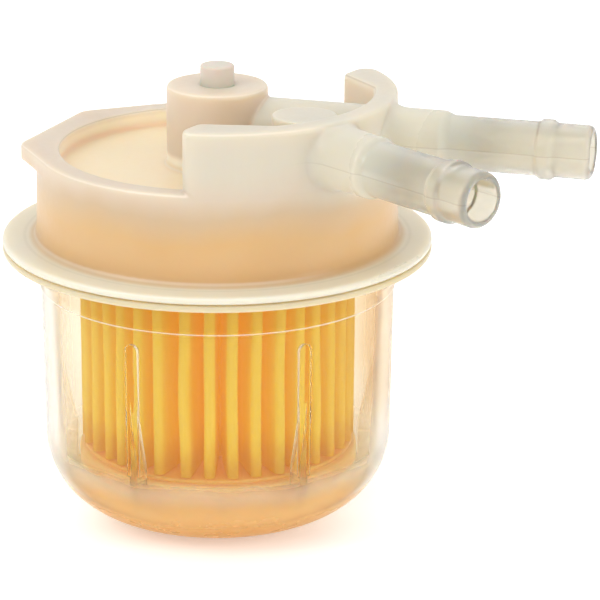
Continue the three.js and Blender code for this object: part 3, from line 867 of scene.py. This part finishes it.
def bowl_shell():
    """Round-bottomed bowl with a small step below its flange, turned in one piece."""
    corner = (BOWL_BASE_RADIUS, BOWL_CORNER)
    neck_inner = BOWL_NECK_RADIUS - BOWL_WALL
    points = [(0, 0)]
    points += arc(corner, BOWL_CORNER, -math.pi / 2, 0, 24)
    points += rounded([
        (BOWL_STEP_RADIUS, BOWL_STEP_HEIGHT - 0.25, 0),
        (BOWL_NECK_RADIUS, BOWL_STEP_HEIGHT, 0),
        (BOWL_NECK_RADIUS, BOWL_TOP - BOWL_FLANGE, 0.6),
        (FLANGE_RADIUS, BOWL_TOP - BOWL_FLANGE, 0.45),
        (FLANGE_RADIUS, BOWL_TOP, 0.3),
        (neck_inner, BOWL_TOP, 0.3),
        (neck_inner, BOWL_STEP_HEIGHT, 0),
    ])
    points += arc(corner, BOWL_CORNER - BOWL_WALL, 0, -math.pi / 2, 24)
    points.append((0, BOWL_WALL))
    return turned(points, ROUND)


def guide_rib(angle):
    """A shallow pad with a round top, and a thinner fin that grows inwards below it."""
    root = BOWL_RADIUS - BOWL_WALL / 2
    root_arc = BOWL_CORNER - BOWL_WALL / 2
    ledge = plate_low.z - 0.3
    foot = -math.acos((RIB_LEDGE_INNER - BOWL_BASE_RADIUS) / root_arc)
    outline = [
        (root, RIB_FIN_TOP),
        (RIB_FIN_INNER, RIB_FIN_FOOT),
        (RIB_FIN_INNER, ledge),
        (RIB_LEDGE_INNER, ledge),
    ]
    outline += arc((BOWL_BASE_RADIUS, BOWL_CORNER), root_arc, foot, 0, 12)
    swing = Matrix.Rotation(math.radians(angle), 4, "Z")
    stand = Matrix.Rotation(math.pi / 2, 4, "X")
    fin = moved(prism(outline, -FIN_WIDTH / 2, FIN_WIDTH / 2, RIB_EDGE, both=True), stand, swing)
    half = RIB_WIDTH / 2
    pad_outline = [(-half, BOWL_CORNER), (half, BOWL_CORNER)]
    pad_outline += arc((0, RIB_PAD_TOP - half), half, 0, math.pi, 16)
    face_in = Matrix.Rotation(-math.pi / 2, 4, "Z") @ Matrix.Rotation(math.pi / 2, 4, "X")
    pad = moved(prism(pad_outline, -root, -RIB_PAD_INNER, RIB_EDGE), face_in, swing)
    return fin, pad


def lower_bowl():
    """The bowl, joined with its guide ribs."""
    bowl = make_object("bowl", bowl_shell())
    for i in range(RIB_COUNT):
        for solid in guide_rib(RIB_PHASE + 360 * i / RIB_COUNT):
            combine(bowl, solid, "UNION")
    return finish_piece(bowl, ["lower_bowl"], bowl_plastic(), 30)


# ---- filter element ----

def pleat_lines(rng):
    """Direction and depth of each ridge, a little uneven as folded paper is."""
    return [(i + rng.uniform(-0.09, 0.09), rng.uniform(-0.3, 0.0)) for i in range(PLEAT_COUNT)]


def half_pleat(reach, pitch):
    """Points (radius, angle, height of the fold) from a ridge's middle to a valley's middle."""
    ridge = RIDGE_WIDTH / 2
    valley = VALLEY_WIDTH / 2
    points = []
    for k in range(6):
        turn = math.pi / 2 * k / 5
        radius = reach - ridge + ridge * math.cos(turn)
        points.append((radius, ridge * math.sin(turn) / radius))
    for k in range(6):
        turn = math.pi / 2 * (1 - k / 5)
        radius = PLEAT_INNER + valley - valley * math.cos(turn)
        points.append((radius, pitch / 2 - valley * math.sin(turn) / radius))
    start, end = points[5], points[6]
    middle = []
    for k in range(1, 8):
        t = k / 8
        middle.append((start[0] + (end[0] - start[0]) * t, start[1] + (end[1] - start[1]) * t))
    points[6:6] = middle
    return [(radius, angle, (radius - PLEAT_INNER) / (reach - PLEAT_INNER)) for radius, angle in points]


def pleat_ring(lines, height, seed):
    """Points (radius, angle, height of the fold) round the middle of the paper at one level."""
    pitch = 2 * math.pi / PLEAT_COUNT
    centres = []
    reaches = []
    for i, (here, depth) in enumerate(lines):
        lean = noise.noise(Vector((i * 3.1, height * 0.06, seed)))
        swell = noise.noise(Vector((i * 1.7, height * 0.1, seed + 9)))
        centres.append((here + 0.1 * lean) * pitch)
        reaches.append(PLEAT_OUTER - PAPER_THICKNESS / 2 + depth + 0.15 * min(0.0, swell))
    ring = []
    for i in range(PLEAT_COUNT):
        after = (i + 1) % PLEAT_COUNT
        span = (centres[after] - centres[i]) % (2 * math.pi)
        out = half_pleat(reaches[i], span)
        back = half_pleat(reaches[after], span)[-2:0:-1]
        ring += [(radius, centres[i] + angle, fold) for radius, angle, fold in out]
        ring += [(radius, centres[i] + span - angle, fold) for radius, angle, fold in back]
    return ring


def pleated_paper():
    """The folded paper: rings of pleats, level by level, joined and given a thickness."""
    lines = pleat_lines(random.Random(PLEAT_SEED))
    bm = bmesh.new()
    ridge = bm.verts.layers.float.new("ridge")
    rows = []
    for level in range(PLEAT_LEVELS + 1):
        height = paper_low.z + (paper_high.z - paper_low.z) * level / PLEAT_LEVELS
        row = []
        for radius, angle, amount in pleat_ring(lines, height, CREASE_SEED):
            vert = bm.verts.new((radius * math.cos(angle), radius * math.sin(angle), height))
            vert[ridge] = amount
            row.append(vert)
        rows.append(row)
    for low, high in zip(rows, rows[1:]):
        for k in range(len(low)):
            nxt = (k + 1) % len(low)
            bm.faces.new((low[k], low[nxt], high[nxt], high[k]))
    paper_piece = make_object("paper", bm)
    thick = paper_piece.modifiers.new("thickness", "SOLIDIFY")
    thick.thickness = PAPER_THICKNESS
    thick.offset = 0
    apply_modifiers(paper_piece)
    return finish_piece(paper_piece, ["pleated_paper"], paper(), 60)


def lower_end_plate():
    """Closed plate under the paper, with a skirt."""
    plate_top = plate_high.z
    under = plate_top - PLATE_THICKNESS
    skirt = plate_high.x - PLATE_SKIRT_WALL
    lower = make_object("lower_plate", turned(rounded([
        (0, under, 0),
        (skirt, under, 0.5),
        (skirt, plate_low.z, 0.4),
        (plate_high.x, plate_low.z, 0.4),
        (plate_high.x, plate_top, 0.5),
        (0, plate_top, 0),
    ])))
    return finish_piece(lower, ["lower_end_plate"], PLATE, 40)


def upper_end_plate():
    """Plate over the paper, with the neck that carries the seal."""
    low, high = box_mm("upper_end_plate")
    ledge_top = high.z - NECK_HEIGHT
    top = low.z + PLATE_THICKNESS
    upper = make_object("upper_plate", turned(rounded([
        (NECK_BORE, low.z, 0.4),
        (high.x, low.z, 0.4),
        (high.x, top, 0.5),
        (NECK_LEDGE, top, 0.4),
        (NECK_LEDGE, ledge_top, 0.3),
        (NECK_RADIUS, ledge_top, 0.1),
        (NECK_RADIUS, high.z, 0.4),
        (NECK_BORE, high.z, 0.3),
    ]), closed=True))
    return finish_piece(upper, ["upper_end_plate"], PLATE, 40)


def bond_bed(node):
    """Cast ring of adhesive with a soft, slightly uneven edge."""
    low, high = box_mm(node)
    bm = turned(rounded([
        (BOND_INNER, low.z, 0.1),
        (high.x, low.z, 0.3),
        (high.x, high.z, 0.3),
        (BOND_INNER, high.z, 0.1),
    ]), closed=True)
    for vert in bm.verts:
        flat = Vector((vert.co.x, vert.co.y, 0))
        vert.co -= flat.normalized() * abs(noise.noise(flat * 0.5)) * 0.2
    return finish_piece(make_object(node + "_cast", bm), [node], ADHESIVE, 60)


def centre_tube():
    """Perforated tube, with each cut made right through two opposite windows."""
    low, high = box_mm("centre_tube")
    inner = high.x - CORE_WALL
    tube = make_object("core", turned(rounded([
        (inner, low.z, 0.2),
        (high.x, low.z, 0.2),
        (high.x, high.z, 0.2),
        (inner, high.z, 0.2),
    ]), 96, closed=True))
    row_pitch = (high.z - low.z) / CORE_WINDOW_ROWS
    half_width = CORE_WINDOW_WIDTH / 2
    half_height = CORE_WINDOW_HEIGHT / 2
    window = rounded([
        (-half_width, -half_height, 0.8),
        (half_width, -half_height, 0.8),
        (half_width, half_height, 0.8),
        (-half_width, half_height, 0.8),
    ], 4)
    stand = Matrix.Rotation(math.pi / 2, 4, "X")
    for row in range(CORE_WINDOW_ROWS):
        lift = Matrix.Translation((0, 0, low.z + row_pitch * (row + 0.5)))
        for i in range(CORE_WINDOWS_ROUND // 2):
            swing = Matrix.Rotation(2 * math.pi * i / CORE_WINDOWS_ROUND + math.pi / 2, 4, "Z")
            combine(tube, moved(prism(window, -20, 20), stand, swing, lift), "DIFFERENCE")
    return finish_piece(tube, ["centre_tube"], CORE, 40)


def neck_seal():
    """O-ring round the element's neck."""
    low, high = box_mm("neck_seal")
    section = (high.z - low.z) / 2
    middle = (high.x - section, (low.z + high.z) / 2)
    ring = turned(arc(middle, section, 0, 2 * math.pi, 24)[:-1], 96, closed=True)
    return finish_piece(make_object("o_ring", ring), ["neck_seal"], RUBBER, 180)


def flange_weld():
    """Bead of melted plastic between the flanges, with the small waves that welding leaves."""
    low, high = box_mm("flange_weld_ring")
    inner = high.x - WELD_WIDTH
    bm = turned(rounded([
        (inner, low.z, 0.25),
        (high.x, low.z, 0.25),
        (high.x, high.z, 0.25),
        (inner, high.z, 0.25),
    ]), closed=True)
    for vert in bm.verts:
        flat = Vector((vert.co.x, vert.co.y, 0))
        vert.co -= flat.normalized() * abs(noise.noise(flat * 0.8)) * 0.15
    return finish_piece(make_object("weld_bead", bm), ["flange_weld_ring"], WELD, 60)


def boss_plug():
    """Round plug with a stem, standing in its seat on the boss."""
    seat = BOSS_TOP - PLUG_SEAT_DEPTH
    plug = make_object("plug", turned(rounded([
        (0, plug_low.z, 0),
        (PLUG_STEM, plug_low.z, 0.3),
        (PLUG_STEM, seat + 0.1, 0.1),
        (PLUG_RADIUS, seat + 0.1, 0.1),
        (PLUG_RADIUS, plug_high.z, 0.4),
        (0, plug_high.z, 0),
    ]), 96))
    return finish_piece(plug, ["boss_plug"], PLUG, 60)


# ---- studio ----

def floor():
    """Pale floor just below the filter, with a glow that keeps it white."""
    bpy.ops.mesh.primitive_plane_add(size=FLOOR_SIZE, location=(0, 0, -FLOOR_DROP))
    plane = bpy.context.object
    plane.name = "studio_floor"
    shader = Shader("studio_floor")
    grain = shader.spread(shader.noise(40, 3), 0.3, 0.7)
    shader.colour(shader.mix(grain, (0.93, 0.93, 0.93), (0.95, 0.95, 0.95)))
    shader.set(Roughness=0.8, Emission_Color=(1, 1, 1, 1), Emission_Strength=FLOOR_GLOW)
    plane.data.materials.append(shader.material)


def soft_light(name, place, aim, size, power):
    """Rectangular lamp: place, aim and size in metres, power in watts."""
    lamp = bpy.data.lights.new(name, "AREA")
    lamp.shape = "RECTANGLE"
    lamp.size, lamp.size_y = size
    lamp.energy = power
    light = bpy.data.objects.new(name, lamp)
    light.location = place
    light.rotation_euler = (Vector(aim) - Vector(place)).to_track_quat("-Z", "Y").to_euler()
    bpy.context.scene.collection.objects.link(light)


def sky(nodes, link):
    """Strength of a white sky, raised by broad soft boxes and lowered low down on both sides."""
    direction = nodes.new("ShaderNodeTexCoord").outputs["Generated"]
    total = None
    for side, height, start, end, gain in SKY_BOXES:
        turn = math.radians(CAMERA_AZIMUTH - 90 + side)
        tilt = math.radians(height)
        aim = nodes.new("ShaderNodeVectorMath")
        aim.operation = "DOT_PRODUCT"
        aim.inputs[1].default_value = (
            math.cos(turn) * math.cos(tilt), math.sin(turn) * math.cos(tilt), math.sin(tilt))
        link(direction, aim.inputs[0])
        glow = nodes.new("ShaderNodeMapRange")
        glow.interpolation_type = "SMOOTHSTEP"
        for key, value in zip(("From Min", "From Max", "To Max"), (start, end, gain)):
            glow.inputs[key].default_value = value
        link(aim.outputs["Value"], glow.inputs["Value"])
        add = nodes.new("ShaderNodeMath")
        add.operation = "ADD"
        add.inputs[0].default_value = SKY_LOW
        if total is not None:
            link(total, add.inputs[0])
        link(glow.outputs["Result"], add.inputs[1])
        total = add.outputs[0]
    return total


def studio():
    """Sky and two soft lights, shown without any tone curve."""
    scene = bpy.context.scene
    world = bpy.data.worlds.new("studio")
    world.use_nodes = True
    tree = world.node_tree
    background = tree.nodes["Background"]
    background.inputs["Color"].default_value = (1.0, 1.0, 1.0, 1.0)
    tree.links.new(sky(tree.nodes, tree.links.new), background.inputs["Strength"])
    scene.world = world
    scene.view_settings.view_transform = "Standard"
    middle = (0, 0, 0.04)
    soft_light("key", around(-60, 0.5, 0.42), middle, (0.10, 0.30), 0.5)
    soft_light("fill", around(60, 0.5, 0.20), middle, (0.08, 0.3), 0.4)


def around(side, distance, height):
    """Place on a circle round the filter, side degrees to the right of the camera."""
    angle = math.radians(CAMERA_AZIMUTH - 90 + side)
    return (distance * math.cos(angle), distance * math.sin(angle), height)


def camera():
    """Long lens in front of the filter and a little above it, slightly rolled."""
    scene = bpy.context.scene
    data = bpy.data.cameras.new("camera")
    data.sensor_width = 36
    data.lens = CAMERA_LENS
    data.clip_start = 0.01
    eye = bpy.data.objects.new("camera", data)
    pitch = math.radians(CAMERA_PITCH)
    turn = Matrix.Rotation(math.radians(CAMERA_AZIMUTH), 3, "Z")
    right = turn @ Vector((1, 0, 0))
    up = turn @ Vector((0, math.sin(pitch), math.cos(pitch)))
    back = turn @ Vector((0, -math.cos(pitch), math.sin(pitch)))
    spot = right * CAMERA_RIGHT + up * CAMERA_UP + back * CAMERA_DISTANCE
    eye.location = (spot + Vector((0, 0, FLANGE_TOP))) * MM
    eye.rotation_euler = (math.pi / 2 - pitch, 0, math.radians(CAMERA_AZIMUTH))
    eye.rotation_euler.rotate_axis("Z", math.radians(CAMERA_ROLL))
    scene.collection.objects.link(eye)
    scene.camera = eye


# The plate and the adhesive get a painted glow in their own colour.
PLATE = soft_plastic("plate_plastic", (1.0, 0.74, 0.34), (0.98, 0.69, 0.28), 0.38, glow=0.12)
ADHESIVE = soft_plastic("adhesive", (0.96, 0.62, 0.20), (0.90, 0.54, 0.14), 0.38, glow=0.12)
CORE = soft_plastic("core_plastic", (0.85, 0.76, 0.60), (0.82, 0.72, 0.54), 0.4)
WELD = soft_plastic("weld_plastic", (0.95, 0.84, 0.66), (0.92, 0.79, 0.60), 0.38)
PLUG = soft_plastic("plug_plastic", (0.68, 0.63, 0.54), (0.65, 0.59, 0.49), 0.38, 0.6)
RUBBER = soft_plastic("seal_rubber", (0.02, 0.02, 0.02), (0.03, 0.03, 0.03), 0.55, 0.0)

camera()
studio()
floor()
upper_housing()
lower_bowl()
pleated_paper()
lower_end_plate()
upper_end_plate()
bond_bed("upper_bond_bed")
bond_bed("lower_bond_bed")
centre_tube()
neck_seal()
flange_weld()
boss_plug()
